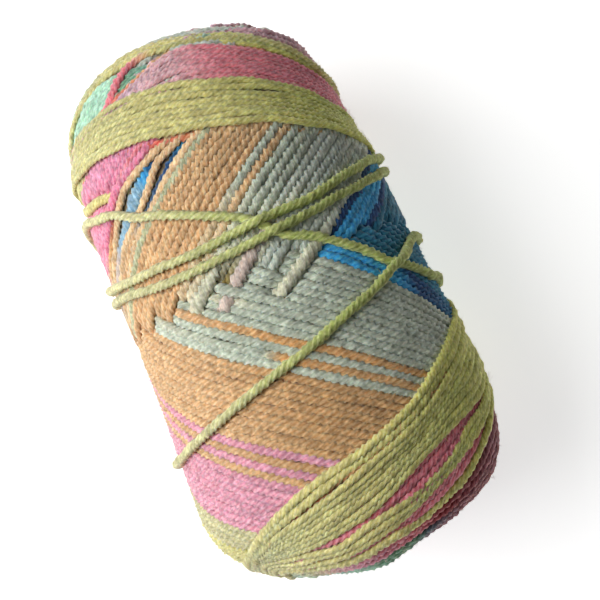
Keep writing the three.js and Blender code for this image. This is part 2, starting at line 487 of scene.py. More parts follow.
CLIMBING = (
    {"from": -180, "to": -170, "dye": "lime"},
    {"from": -170, "to": -111, "dye": "hot_pink"},
    {"from": -111, "to": -85.5, "dye": "peach"},
    {"from": -85.5, "to": -80.5, "dye": "sage"},
    {"from": -80.5, "to": -45.5, "dye": "peach"},
    {"from": -45.5, "to": -20, "dye": "grey"},
    {"from": -20, "to": 14.5, "dye": "silver"},
    {"from": 14.5, "to": 19.5, "dye": "navy"},
    {"from": 19.5, "to": 34.5, "dye": "blue"},
    {"from": 34.5, "to": 39.5, "dye": "navy"},
    {"from": 39.5, "to": 85, "dye": "teal"},
    {"from": 85, "to": 115, "dye": "green"},
    {"from": 115, "to": 150, "dye": "mint"},
    {"from": 150, "to": 180, "dye": "lime"},
)
FALLING = (
    {"from": -180, "to": -160.5, "dye": "pale_lime"},
    {"from": -160.5, "to": -120.5, "dye": "pink"},
    {"from": -120.5, "to": -115.5, "dye": "peach"},
    {"from": -115.5, "to": -110.5, "dye": "pink"},
    {"from": -110.5, "to": -105.5, "dye": "peach"},
    {"from": -105.5, "to": -100.5, "dye": "pink"},
    {"from": -100.5, "to": -55.5, "dye": "peach"},
    {"from": -55.5, "to": -50.5, "dye": "grey"},
    {"from": -50.5, "to": -45.5, "dye": "orange"},
    {"from": -45.5, "to": -40.5, "dye": "grey"},
    {"from": -40.5, "to": -35.5, "dye": "orange"},
    {"from": -35.5, "to": 13, "dye": "grey"},
    {"from": 13, "to": 29, "dye": "blue"},
    {"from": 29, "to": 85, "dye": "teal"},
    {"from": 85, "to": 120, "dye": "green"},
    {"from": 120, "to": 150, "dye": "mint"},
    {"from": 150, "to": 180, "dye": "lime"},
)


def dye_at(rows, angle):
    angle = (angle + 180) % 360 - 180
    for row in rows:
        if row["from"] <= angle < row["to"]:
            return row["dye"]
    return rows[-1]["dye"]


# Strands with looks of their own, by family and place at the waist. Dyes and dips are given at turns past the waist,
# "waist" moves a strand, "aside" moves a part of it, and "late" lays it over what would cover it.
OWN_LOOKS = {
    ("upper", -123): {"dye": ((40, "hot_pink"), (60, "hot_pink"), (80, "rose"))},
    ("upper", -118): {"dye": ((30, "warm_cream"), (50, "hot_pink"), (90, "hot_pink")), "aside": ((46, 0), (74, -2), (84, 0))},
    # Painted shade: the maroon stretch where this strand dips stands for the dark gap beside the pink strands.
    ("upper", -113): {
        "waist": -112.5, "aside": ((46, 1), (62, -3.5), (74, -4.5), (84, 0)), "dips": ((46, 0), (58, 1.0)),
        "dye": ((36, "peach"), (48, "orange"), (58, "maroon"), (90, "rose"))},
    ("upper", -108): {
        "dye": "light_peach", "waist": -108.7, "aside": ((40, 2), (46, 3), (61, -2.8), (72, -5.3), (80, 0.2), (87, 5)),
        "size": ((44, 1.0), (54, 0.8), (86, 0.8))},
    ("upper", -103): {
        "dips": ((45, 0.1), (53, 1.7)), "aside": ((46, 2), (62, 0), (76, -1), (85, 3)),
        "size": ((46, 1.0), (55, 1.8), (74, 1.8), (84, 1.0)),
        "dye": ((42, "blush"), (48, "sky"), (66, "sky"), (71, "blue"), (77, "navy"))},
    ("upper", -98): {
        "dye": "light_peach", "waist": -97.4, "aside": ((40, 1.6), (53, 3.9), (63, 3.4), (76, -2), (83, 1.4)),
        "size": ((44, 1.0), (54, 0.8), (86, 0.8))},
    ("upper", -93): {
        "dips": ((46, 0), (56, 0.9)), "aside": ((46, 2), (55, 5.5), (67, 4), (83, 1)),
        "dye": ((46, "peach"), (54, "slate"), (72, "navy"), (84, "teal"))},
    ("upper", -88): {"dye": "light_peach", "aside": ((40, 1), (55, 4), (67, 3.2), (83, 2))},
    ("upper", -83): {"aside": ((40, 0), (55, 2), (67, 1.7), (83, 1))},
    ("upper", -43): {"dye": ((-14, "warm_cream"), (30, "warm_cream"), (45, "grey"))},
    ("upper", -38): {"waist": -37, "dye": ((-14, "cream"), (25, "warm_cream"), (40, "peach"))},
    ("upper", -33): {
        "waist": -31.3, "dye": ((-14, "cream"), (25, "cream"), (40, "grey")), "size": ((6, 1.5), (16, 1.12)), "late": 1.2},
    # Painted shade: where these strands dip under others at the waist, their dye turns olive.
    ("upper", -28): {"waist": -26.5, "dips": ((4, 1.3), (14, 0)), "dye": ((4, "olive"), (14, "cream"), (35, "grey"))},
    ("upper", -23): {"waist": -22.3, "dips": ((7, 1.2), (17, 0)), "dye": ((6, "olive"), (15, "cream"), (35, "grey"))},
    ("upper", -18): {
        "waist": -16, "dye": ((-14, "blush"), (14, "blush"), (30, "silver")), "late": 0.97,
        "size": ((-9, 1.5), (0, 1.35), (14, 1.35), (25, 1.0))},
    ("upper", -13): {"waist": -11.5, "dye": ((-14, "cream"), (20, "cream"), (38, "silver"))},
    ("upper", -8): {"waist": -7.6},
    # Painted shade: olive where this strand dips under others.
    ("upper", 2): {"waist": 1.2, "dips": ((-6, 0.9), (9, 0)), "dye": ((-4, "olive"), (6, "silver"))},
    ("upper", 7): {"size": 1.1},
    ("upper", 12): {"dye": ((-14, "cream"), (6, "cream"), (20, "silver")), "size": 1.25, "late": 3.75, "from": -18},
    ("lower", -28): {"late": -0.65},
    ("lower", -23): {"dye": ((6, "cream"), (14, "grey")), "late": -0.4},
    ("lower", -48): {"dye": ((33, "grey"), (38, "orange"))},
    ("lower", -38): {"dye": ((8, "peach"), (30, "orange"))},
    ("lower", 17): {"dye": ((27, "blue"), (35, "navy"), (60, "teal"))},
    ("lower", 22): {"dye": ((22, "blue"), (30, "navy"), (60, "teal"))},
    ("lower", 27): {"dye": ((8, "navy"), (16, "blue"), (24, "navy"), (60, "teal"))},
}


def climb(waist, start, place, aside):
    """One strand of the upper half, from under the waist to under the top band."""
    t = np.linspace(start, 120, 400)
    waist = waist + (place - waist) * smooth_step((t - 12) / 25) * (place > -90)
    flatter = 1 - 0.22 * np.clip((place + 40) / 60, 0, 1) * (1 - np.clip((place - 60) / 60, 0, 1))
    y = 50 * np.sin(np.radians(0.665 * t)) * flatter
    angle = np.radians(waist + t + along_angle(aside, np.radians(t)))
    stop = np.nonzero(y > height_of(TOP_BAND["lower"], angle) + 4)[0]
    last = stop[0] if len(stop) else len(t)
    return angle[:last], surface.s_of_y(y[:last])


def fall(waist, start, place, aside):
    """One strand of the lower half, from over the waist to under the bottom band."""
    t = np.linspace(start, 152, 480)
    waist = waist + (place - waist) * smooth_step((t - 12) / 25)
    y = -95 * np.sin(np.radians(0.335 * t))
    angle = np.radians(waist + t + along_angle(aside, np.radians(t)))
    stop = np.nonzero(y < height_of(BOTTOM_EDGE, angle) - 4)[0]
    last = stop[0] if len(stop) else len(t)
    return angle[:last], surface.s_of_y(y[:last])


# A turn that crosses the pink strands on the left and goes on under the peach ones
CROSSING_LEFT = ((-100, 45), (-75, 41), (-50, 38), (-35, 36), (-20, 33))


def from_waist(stations, waist):
    """Stations given in degrees past the waist, as angles round the axis."""
    if isinstance(stations, (str, int, float)):
        return stations
    return tuple((turn + waist, value) for turn, value in stations)


def wind_chevron(winding):
    ordered = []
    angle, s = smooth_route([(a, float(surface.s_of_y(y))) for a, y in CROSSING_LEFT], False)
    ordered.append((22.5, Run("upper_cool", "lime", angle, s, family="single")))
    for group in range(int(360 / PITCH) // GROUP):
        for rows, path, family in ((CLIMBING, climb, "upper"), (FALLING, fall, "lower")):
            for i in range(GROUP):
                place = (FIRST - PITCH * (group * GROUP + i) + 180) % 360 - 180
                own = OWN_LOOKS.get((family, place), {})
                waist = own.get("waist", place + rng.normal(0, 0.25))
                dye = dye_at(rows, place)
                shade = PEACH_SHADED_RIGHT if dye == "peach" and family == "lower" else dye
                if "dye" in own:
                    shade = from_waist(own["dye"], waist)
                fuller = 1.12 if family == "upper" and -46 < place < 16 else 1.0
                angle, s = path(waist, own.get("from", BEFORE_WAIST), place, own.get("aside", 0.0))
                run = Run(
                    f"{family}_{dye_group(dye)}", shade, angle, s,
                    sunk=from_waist(own.get("dips", 0.0), waist), family=family, size=from_waist(own.get("size", fuller), waist),
                )
                ordered.append((2 * group + (family == "lower") + 0.3 * i + own.get("late", 0), run))
    ordered.sort(key=lambda item: item[0])
    winding.lay_layer([run for _, run in ordered])


def dye_group(dye):
    return "warm" if dye in ("peach", "orange", "coral", "pink", "hot_pink", "rose", "maroon", "mauve") else "cool"


END_LOOPS = (
    {"close": 26, "far": 60, "loops": 8},
    {"close": 17, "far": 60, "loops": 11},
    {"close": 9, "far": 58, "loops": 15},
)
END_RINGS = (2.6, 5.2, 7.8, 10.4, 13.0, 15.6)  # turns round the hollow, this far from its middle
END_DYES = {1: ("mint", "silver", "dusty", "silver"), -1: ("teal", "mint", "mauve", "pink")}


def wind_ends(winding):
    """Turns over each end, each a loop that passes close to the hollow on one side."""
    for side, dyes in END_DYES.items():
        s_end = surface.s[-1] if side > 0 else surface.s[0]
        round_axis = np.linspace(0, 2 * math.pi, 721)
        runs = [
            Run(f"end_{'top' if side > 0 else 'bottom'}", dyes[i % len(dyes)], round_axis, s_end - side * away + 0 * round_axis,
                closed=True, sway=0.1)
            for i, away in enumerate(END_RINGS)
        ]
        for row in END_LOOPS:
            for i in range(row["loops"]):
                turn = 2 * math.pi * (i * 3 / row["loops"] + rng.random() / row["loops"])
                at = np.linspace(0, 2 * math.pi, 721)
                near = s_end - side * (row["close"] + 3 * rng.random())
                away = surface.s_of_y(side * (row["far"] + 6 * rng.random()))
                s = away + (near - away) * ((1 + np.cos(at - turn)) / 2) ** 1.5
                if side > 0:
                    s = np.maximum(s, surface.s_of_y(height_of(TOP_BAND["lower"], at) + 6))
                else:
                    s = np.minimum(s, surface.s_of_y(height_of(BOTTOM_EDGE, at) - 5))
                dye = dyes[int(i / row["loops"] * len(dyes)) % len(dyes)]
                runs.append(Run(f"end_{'top' if side > 0 else 'bottom'}", dye, at, s, closed=True))
        winding.lay_layer(runs)


# Bands of turns side by side, in the order of winding. The rows give y at the stations, and a level above the outline.
BANDS = (
    {"piece": "band_mint", "strands": 6, "level": -1.6,
     "dye": ((-90, "mint"), (-38, "mint"), (-30, "green"), (30, "teal"), (180, "mint")),
     "sunk": ((-90, 0), (-22, 0), (-8, 1.2), (200, 1.2), (260, 0), (270, 0)),
     "upper": (61, 67, 69.4, 67.5, 66, 62, 55, 47, 42, 50), "lower": (55, 57.6, 59, 59.5, 58, 54, 48, 42, 38, 45)},
    # Painted shadow: a thin coral and orange strand under the rim's lower edge stands for the warm shadow line there.
    {"piece": "band_pink", "strands": 1, "level": -1.0, "sunk": 0.3,
     "dye": ((-90, "pink"), (-35, "coral"), (-8, "orange"), (60, "coral"), (180, "coral")),
     "upper": (59, 59.4, 60.4, 63.8, 68.3, 64.8, 57.6, 50.2, 44, 52),
     "lower": (57, 57.4, 58.4, 61.8, 66.3, 62.8, 55.6, 48.2, 42, 50)},
    {"piece": "band_pink", "strands": 8, "level": -0.9,
     "dye": ((-90, "pink"), (-40, "pink"), (-22, "light_pink"), (-4, "light_pink"), (14, "rose"), (180, "rose")),
     "upper": (57, 57.4, 58.9, 62.4, 66.6, 63, 56, 48.7, 43, 51), "lower": (53, 54, 55.5, 56, 53, 49, 43, 38, 34, 42)},
    {"piece": "band_rim", "strands": 2, "level": -1.0,
     "dye": ((-90, "mint"), (-50, "pale_lime"), (-10, "silver"), (14, "silver"), (26, "dusty"), (60, "dusty"), (180, "rose")),
     "upper": (68, 73, 76.5, 77, 76.4, 74.6, 68.5, 63, 56, 64), "lower": (62, 69, 73.5, 74, 72.8, 69, 62.5, 57.5, 51, 59)},
    {"piece": "band_rim", "strands": 3, "dye": LIME_LIT_LEFT, "level": -0.85,
     "upper": (62, 69.5, 74.3, 74.6, 73.6, 70, 63, 55, 47, 55),
     "lower": (57, 66.3, 70.3, 70.2, 67.8, 64.6, 57.4, 50.2, 43.5, 51)},
    # Painted shadow: a sunk coral and orange strand under the lower edge of the top band stands for the warm shadow
    # line there.
    {"piece": "band_top", "strands": 1, "dye": ((-90, "coral"), (-20, "coral"), (0, "orange"), (180, "orange")), "sunk": 0.5,
     "level": -0.7,
     "upper": (49.2, 48.4, 47.1, 44.3, 40, 36.4, 31.4, 27.6, 23.1, 34.1),
     "lower": (47.2, 46.4, 45.1, 42.3, 38, 34.4, 29.4, 25.6, 21.1, 32.1)},
    {"piece": "band_top", "strands": 8, "dye": LIME_LIT_LEFT, "level": -0.5, **TOP_BAND},
    {"piece": "band_under", "strands": 2, "level": -0.45,
     "dye": ((-90, "pink"), (-40, "coral"), (0, "orange"), (60, "orange"), (180, "rose")),
     "upper": (-67, -63, -58.5, -54.5, -51, -46.5, -39.5, -32, -24, -40),
     "lower": (-70, -66, -62, -58.5, -55.5, -51, -44.5, -37, -28, -43)},
    {"piece": "band_under", "strands": 7, "level": -0.1,
     "dye": ((-90, "pink"), (0, "rose"), (40, "rose"), (60, "maroon"), (180, "mauve")),
     "upper": (-69, -65, -62, -62, -59, -55, -49, -43, -35, -46),
     "lower": (-73, -71, -72, -73, -72, -69.5, -64, -56, -46, -58)},
    {"piece": "band_under", "strands": 3, "level": -0.35,
     "dye": ((-90, "mint"), (-50, "pale_lime"), (-25, "pink"), (10, "rose"), (30, "maroon"), (60, "mauve"), (180, "mauve")),
     "upper": (-74, -73, -71.5, -71.8, -71.3, -69.5, -65.5, -57, -46, -58),
     "lower": (-77, -76.5, -75.8, -75.8, -75.6, -75.4, -72.6, -66, -56, -67)},
    {"piece": "band_under", "strands": 3, "level": -0.5,
     "dye": ((-90, "mint"), (-30, "mint"), (-5, "green"), (14, "green"), (25, "slate"), (45, "mauve"), (180, "mauve")),
     "upper": (-77, -76.6, -76.2, -76.2, -76, -75.8, -73.4, -67, -58, -69),
     "lower": (-79.4, -79.2, -79, -79, -78.9, -78.7, -77.8, -74, -68, -76)},
    {"piece": "band_bottom", "strands": 1, "dye": LIME_LIT_LEFT, "level": 0.1,
     "upper": (-73.5, -70.5, -71, -70.9, -70.1, -69.7, -65.2, -56, -44.5, -57),
     "lower": (-75.5, -72.5, -73, -72.9, -72.1, -71.7, -67.2, -58, -46.5, -59)},
    {"piece": "band_bottom", "strands": 3, "dye": LIME_LIT_LEFT, "level": 0.15,
     "upper": (-70.5, -67, -67.2, -66.6, -65, -63.1, -56.8, -50.8, -41, -53),
     "lower": (-73.5, -70.5, -71, -70.6, -69.4, -66.7, -60.6, -53.8, -44, -56)},
    {"piece": "band_bottom", "strands": 7, "dye": LIME_LIT_LEFT, "level": 0.2,
     "upper": (-68.3, -64.2, -60.2, -57.2, -53.2, -48.9, -41.7, -34.3, -25.8, -41),
     "lower": (-70.5, -66.6, -66.6, -65.4, -63.2, -57.5, -53.2, -49.6, -40.2, -52)},
    {"piece": "band_bottom", "strands": 1, "dye": LIME_LIT_LEFT, "level": 0.3,
     "upper": (-67.3, -63.2, -58.2, -54.2, -51.1, -46.4, -39.2, -31.8, -23.2, -39),
     "lower": (-69.3, -65.2, -60.2, -56.2, -53.1, -48.4, -41.2, -33.8, -25.2, -41)},
    {"piece": "band_bottom", "strands": 1, "dye": LIME_LIT_LEFT, "level": 0.45,
     "upper": (-66.2, -62, -56.9, -52.2, -49.3, -44.4, -37.2, -30, -21, -37),
     "lower": (-68.2, -64, -58.9, -54.2, -51.3, -46.4, -39.2, -32, -23, -39)},
)
CORAL_TURN = (48, 52, 59.3, 69.2, 68.9, 67, 61, 52.3, 45.5, 53)


def wind_bands(winding):
    for band in BANDS:
        lay_band(winding, band)
        if band["piece"] == "band_rim" and band["dye"] == LIME_LIT_LEFT:
            at, s = smooth_route(edge(CORAL_TURN), True)
            dye = ((-90, "pink"), (-38, "rose"), (-24, "rose"), (-10, "lime"), (180, "lime"))
            hidden = ((-90, 2.4), (-45, 2.4), (-36, 0.6), (-30, 0), (180, 0), (250, 0), (270, 2.4))
            run = Run("band_rim", dye, at, s, closed=True, sunk=hidden)
            winding.lay_over([run], ceiling=band["level"] + 0.4)


OUTER_TURNS = (
    {"name": "turn_a", "route": (
        (-80, 37.5), (-60, 34.5), (-50, 32.5), (-40, 28.5), (-30, 25.5), (-20, 22), (-10, 18), (0, 13.5), (8, 7),
        (17, 4), (25, 0), (33, -4), (40, -8), (50, -11), (57, -13), (65, -15), (80, -16), (130, -14), (180, 2),
        (230, 24))},
    {"name": "turn_c", "route": (
        (-90, 15), (-60, 12), (-50, 10.5), (-40, 9), (-20, 8), (0, 8.5), (20, 10), (30, 11.5), (40, 12.5),
        (50, 14), (60, 15), (70, 17), (80, 18), (130, 25), (180, 27), (230, 20))},
    {"name": "turn_b", "route": (
        (-90, 19), (-60, 15.5), (-40, 13.5), (-20, 12), (0, 12.5), (20, 13.5), (30, 15), (40, 17), (50, 18.5),
        (60, 20), (80, 22), (130, 28), (180, 31), (230, 26))},
    {"name": "turn_d", "route": (
        (-80, -33.5), (-60, -32), (-40, -29), (-20, -25.5), (0, -21.5), (10, -19), (20, -16.5), (30, -14),
        (40, -10.5), (50, -8), (60, -5), (70, -3), (80, -3), (130, -6), (180, -16), (230, -28))},
)


def wind_outer_turns(winding):
    for turn in OUTER_TURNS:
        knots = [(a, float(surface.s_of_y(y))) for a, y in turn["route"]]
        at, s = smooth_route(knots, True)
        run = Run("outer_turns", LEAF_LIT_LEFT, at, s, closed=True, sway=0.12, loose=True, size=1.2)
        winding.lay_over([run], pull=900, ceiling=3.0)


winding = Winding()
wind_chevron(winding)
wind_ends(winding)
wind_bands(winding)
wind_outer_turns(winding)


# Meshes

TILT = Matrix.Rotation(-math.atan(TAPER), 3, "X")
TURNED = np.array(TILT)


def to_part(points):
    moved = points @ TURNED.T + np.array(AXIS_AT)
    z = moved[:, 2]
    # The soft side presses flat on what it rests on.
    pressed, floor = 9.0, -2.6
    low = np.clip((z - floor) / (pressed - floor), 0, None)
    soft = low * (pressed + floor) + low**2 * (-floor)
    moved[:, 2] = np.where(z < pressed, np.maximum(soft, 0), z)
    return moved * MM


SWELL = 0.14  # how much each ply thickens and thins
SWELL_WAVES = (4.3, 7.1, 12.7)
ROUGH = 0.05


def ply_swell(run):
    """Slow changes of thickness along each ply, for every ring."""
    swell = np.zeros((len(run), PLIES))
    for wave in SWELL_WAVES:
        phase = rng.uniform(0, 2 * math.pi, PLIES)
        swell += SWELL / 2 * np.sin(2 * math.pi * run[:, None] / wave + phase)
    return swell


def strand_mesh(run, height, places, closed):
    """A plied tube along a stretch of a strand: crowns and grooves that turn with the plies."""
    chosen = places[::2]
    points = (run.place + run.normal * height[:, None])[chosen]
    normal = run.normal[chosen]
    along = tangents(points, closed)
    normal = normal - (normal * along).sum(1, keepdims=True) * along
    normal /= np.linalg.norm(normal, axis=1, keepdims=True)
    across = np.cross(along, normal)
    steps = np.linalg.norm(np.diff(points, axis=0), axis=1)
    passed = np.concatenate([[0], np.cumsum(steps)])
    twist = 2 * math.pi / LAY
    if closed:
        total = passed[-1] + np.linalg.norm(points[0] - points[-1])
        twist = 2 * math.pi / PLIES * round(total / LAY * PLIES) / total
    sides = 2 * PLIES
    corner = np.arange(sides) * 2 * math.pi / sides
    turn = corner[None, :] + (passed * twist)[:, None] + rng.uniform(0, 2 * math.pi)
    crown = (np.arange(sides) % 2 == 0).astype(float)
    count = len(points)
    swell = np.repeat(ply_swell(passed), 2, axis=1)
    swell[:, 1::2] *= 0.4
    reach = run.size[chosen][:, None] * STRAND_RADIUS * np.where(crown > 0, 1.0, GROOVE)[None, :] * (1 + swell)
    reach = reach * (1 + rng.normal(0, ROUGH, (count, sides)))
    spread = 1.0 if run.loose else SPREAD
    ring = points[:, None, :] + reach[..., None] * (
        np.cos(turn)[..., None] * normal[:, None, :] - spread * np.sin(turn)[..., None] * across[:, None, :]
    )
    vertices = ring.reshape(-1, 3)
    # The crown values also steer the material's painted shade: low values get a darker, deeper colour.
    crowns = np.tile(crown, count)
    fibre = np.stack(
        [
            np.repeat(passed, sides) + rng.uniform(0, 500),
            np.tile(np.cos(corner), count) * STRAND_RADIUS,
            np.tile(np.sin(corner), count) * STRAND_RADIUS,
        ], 1,
    )
    rings = count if closed else count - 1
    i = np.arange(rings)[:, None]
    j = np.arange(sides)[None, :]
    a = (i * sides + j).ravel()
    b = (i * sides + (j + 1) % sides).ravel()
    shift = 0
    if closed:
        # The last ring meets the first a whole number of plies further round.
        shift = int(round(twist * total / (2 * math.pi / sides))) % sides
    wrap = (i + 1 == count) * shift
    c = (((i + 1) % count) * sides + (j + 1 + wrap) % sides).ravel()
    d = (((i + 1) % count) * sides + (j + wrap) % sides).ravel()
    quads = np.stack([d, c, b, a], 1)
    caps = []
    colours = np.repeat(run.colour[chosen], sides, axis=0)
    if not closed:
        vertices = np.concatenate([vertices, points[:1], points[-1:]])
        crowns = np.append(crowns, [0, 0])
        fibre = np.concatenate([fibre, fibre[:1], fibre[-1:]])
        colours = np.concatenate([colours, colours[:1], colours[-1:]])
        first, last = len(vertices) - 2, len(vertices) - 1
        for k in range(sides):
            n = (k + 1) % sides
            caps.append((first, k, n))
            caps.append((last, (count - 1) * sides + n, (count - 1) * sides + k))
    return {"vertices": vertices, "quads": quads, "caps": caps, "crown": crowns, "dye": colours, "fibre": fibre}


FUZZ = 8600  # loose fibres that stand off the strands
FUZZ_LENGTH = (1.0, 2.8)
FUZZ_RADIUS = 0.045
FUZZ_LIFT = (0.2, 0.55)  # how far the middle and the tip stand off


def fuzz(shown):
    """Thin curved fibres rooted on the strands that show, each a closed spindle with three sides."""
    lengths = np.array([len(places) for _, _, places in shown], float)
    chosen = rng.choice(len(shown), FUZZ, p=lengths / lengths.sum())
    vertices, colours = [], []
    corner = np.arange(3) * 2 * math.pi / 3
    for index in chosen:
        run, height, places = shown[index]
        here = places[rng.integers(2, len(places) - 2)]
        normal = run.normal[here]
        along = run.place[(here + 1) % len(run.place)] - run.place[here - 1]
        along = along - normal * (along @ normal)
        along *= rng.choice((-1, 1)) / np.linalg.norm(along)
        across = np.cross(along, normal)
        lean = rng.uniform(-1.2, 1.2)
        outwards = math.cos(lean) * normal + math.sin(lean) * across
        root = run.place[here] + normal * height[here] + outwards * 0.9 * STRAND_RADIUS
        turn = rng.normal(0, 0.9)
        way = math.cos(turn) * along + math.sin(turn) * np.cross(outwards, along)
        reach = rng.uniform(*FUZZ_LENGTH)
        first, second = FUZZ_LIFT[0] * rng.random(), FUZZ_LIFT[1] * rng.random() ** 2
        bend = rng.normal(0, 0.3)
        side = np.cross(way, outwards)
        line = (
            root,
            root + way * 0.35 * reach + outwards * first + side * bend * 0.4,
            root + way * 0.7 * reach + outwards * (first + second) / 1.5 + side * bend,
            root + way * reach + outwards * second + side * bend * 2,
        )
        ring = np.cos(corner)[:, None] * outwards + np.sin(corner)[:, None] * side
        vertices.append(line[0][None])
        vertices.append(line[1] + FUZZ_RADIUS * ring)
        vertices.append(line[2] + FUZZ_RADIUS * ring)
        vertices.append(line[3][None])
        colours.append(np.tile(run.colour[here], (8, 1)))
    base = np.arange(FUZZ)[:, None, None] * 8
    k = np.arange(3)
    n = (k + 1) % 3
    sides = np.stack([k + 1, n + 1, n + 4, k + 4], 1)
    ends = np.concatenate([np.stack([np.zeros(3, int), n + 1, k + 1], 1), np.stack([np.full(3, 7), k + 4, n + 4], 1)])
    count = 8 * FUZZ
    return {
        "vertices": np.concatenate(vertices), "quads": (sides + base).reshape(-1, 4), "caps": (ends + base).reshape(-1, 3),
        "crown": np.ones(count), "dye": np.concatenate(colours), "fibre": np.concatenate(vertices),
    }


def build_mesh(name, parts):
    """One object from parts, each with vertices, quads, caps and what the material reads at each vertex."""
    corners, sizes, base = [], [], 0
    for part in parts:
        corners.append((np.asarray(part["quads"]) + base).ravel())
        sizes.append(np.full(len(part["quads"]), 4))
        if len(part["caps"]):
            corners.append((np.asarray(part["caps"]) + base).ravel())
            sizes.append(np.full(len(part["caps"]), 3))
        base += len(part["vertices"])
    vertices = to_part(np.concatenate([part["vertices"] for part in parts]))
    corners = np.concatenate(corners).astype(np.int32)
    sizes = np.concatenate(sizes)
    starts = np.concatenate([[0], np.cumsum(sizes)[:-1]]).astype(np.int32)
    mesh = bpy.data.meshes.new(name)
    mesh.vertices.add(len(vertices))
    mesh.vertices.foreach_set("co", vertices.astype(np.float32).ravel())
    mesh.loops.add(len(corners))
    mesh.loops.foreach_set("vertex_index", corners)
    mesh.polygons.add(len(sizes))
    mesh.polygons.foreach_set("loop_start", starts)
    mesh.update(calc_edges=True)
    mesh.validate()
    mesh.shade_smooth()
    dye = mesh.color_attributes.new("dye", "FLOAT_COLOR", "POINT")
    colours = np.concatenate([part["dye"] for part in parts])
    dye.data.foreach_set("color", np.concatenate([colours, np.ones((len(colours), 1))], 1).astype(np.float32).ravel())
    # crown: 1 on the ply crowns and 0 in the grooves; the material paints shade where it is low.
    crown = mesh.attributes.new("crown", "FLOAT", "POINT")
    crown.data.foreach_set("value", np.concatenate([part["crown"] for part in parts]).astype(np.float32))
    fibre = mesh.attributes.new("fibre", "FLOAT_VECTOR", "POINT")
    fibre.data.foreach_set("vector", np.concatenate([part["fibre"] for part in parts]).astype(np.float32).ravel())
    piece = bpy.data.objects.new(name, mesh)
    bpy.context.scene.collection.objects.link(piece)
    return piece


def wool():
    """Dyed wool: painted shade, a darker and deeper colour, between the plies, streaks along the fibres, and a soft
    bloom at grazing angles.
    """
    material = bpy.data.materials.new("wool")
    material.use_nodes = True
    nodes, links = material.node_tree.nodes, material.node_tree.links
    shader = nodes["Principled BSDF"]
    shader.inputs["Roughness"].default_value = 0.85
    shader.inputs["Sheen Weight"].default_value = 0.18
    shader.inputs["Sheen Roughness"].default_value = 0.5
    shader.inputs["Specular IOR Level"].default_value = 0.15
    shader.inputs["Subsurface Weight"].default_value = 0.5
    shader.inputs["Subsurface Radius"].default_value = (1.0, 0.65, 0.4)
    shader.inputs["Subsurface Scale"].default_value = 0.0012

    def attribute(name):
        node = nodes.new("ShaderNodeAttribute")
        node.attribute_name = name
        return node

    def noise(vector, scale, detail):
        node = nodes.new("ShaderNodeTexNoise")
        node.inputs["Scale"].default_value = scale
        node.inputs["Detail"].default_value = detail
        links.new(vector, node.inputs["Vector"])
        return node.outputs["Fac"]

    def remap(value, low, high, start=0.0, end=1.0):
        node = nodes.new("ShaderNodeMapRange")
        for name, number in (("From Min", start), ("From Max", end), ("To Min", low), ("To Max", high)):
            node.inputs[name].default_value = number
        links.new(value, node.inputs["Value"])
        return node.outputs["Result"]

    def scaled(colour, factor):
        node = nodes.new("ShaderNodeVectorMath")
        node.operation = "SCALE"
        links.new(colour, node.inputs[0])
        links.new(factor, node.inputs["Scale"])
        return node.outputs["Vector"]

    dye = attribute("dye").outputs["Color"]
    crown = attribute("crown").outputs["Fac"]
    place = nodes.new("ShaderNodeTexCoord").outputs["Object"]
    # Fibres run along the plies: the texture is drawn out that way.
    drawn_out = nodes.new("ShaderNodeVectorMath")
    drawn_out.operation = "MULTIPLY"
    drawn_out.inputs[1].default_value = (0.35, 1.0, 1.0)
    links.new(attribute("fibre").outputs["Vector"], drawn_out.inputs[0])
    fibres = noise(drawn_out.outputs["Vector"], 3.2, 3.0)
    grain = noise(place, 900.0, 2.0)
    mottle = noise(place, 420.0, 2.0)
    height = remap(fibres, -0.35, 0.35, 0.3, 0.7)
    unshaded_share = nodes.new("ShaderNodeMath")
    unshaded_share.operation = "ADD"
    unshaded_share.use_clamp = True
    links.new(crown, unshaded_share.inputs[0])
    links.new(height, unshaded_share.inputs[1])
    # Painted shade: between the plies the colour is made darker and deeper, standing in for the shade in the grooves.
    deeper = nodes.new("ShaderNodeGamma")
    deeper.inputs["Gamma"].default_value = 1.45
    links.new(dye, deeper.inputs["Color"])
    groove_shade_mix = nodes.new("ShaderNodeMix")
    groove_shade_mix.data_type = "RGBA"
    links.new(remap(unshaded_share.outputs["Value"], 0.0, 1.0, 0.05, 0.75), groove_shade_mix.inputs["Factor"])
    links.new(deeper.outputs["Color"], groove_shade_mix.inputs["A"])
    links.new(dye, groove_shade_mix.inputs["B"])
    colour = groove_shade_mix.outputs["Result"]
    for value, low, high in ((grain, 0.74, 1.2), (mottle, 0.8, 1.18), (fibres, 0.8, 1.16)):
        colour = scaled(colour, remap(value, low, high, 0.3, 0.7))
    links.new(colour, shader.inputs["Base Color"])
    bump = nodes.new("ShaderNodeBump")
    bump.inputs["Strength"].default_value = 0.6
    bump.inputs["Distance"].default_value = 0.0002
    links.new(fibres, bump.inputs["Height"])
    links.new(bump.outputs["Normal"], shader.inputs["Normal"])
    return material


WOOL = wool()


def finish_piece(piece):
    piece.data.materials.append(WOOL)
    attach(piece, "root")


INNER_DYE = (0.66, 0.6, 0.5)


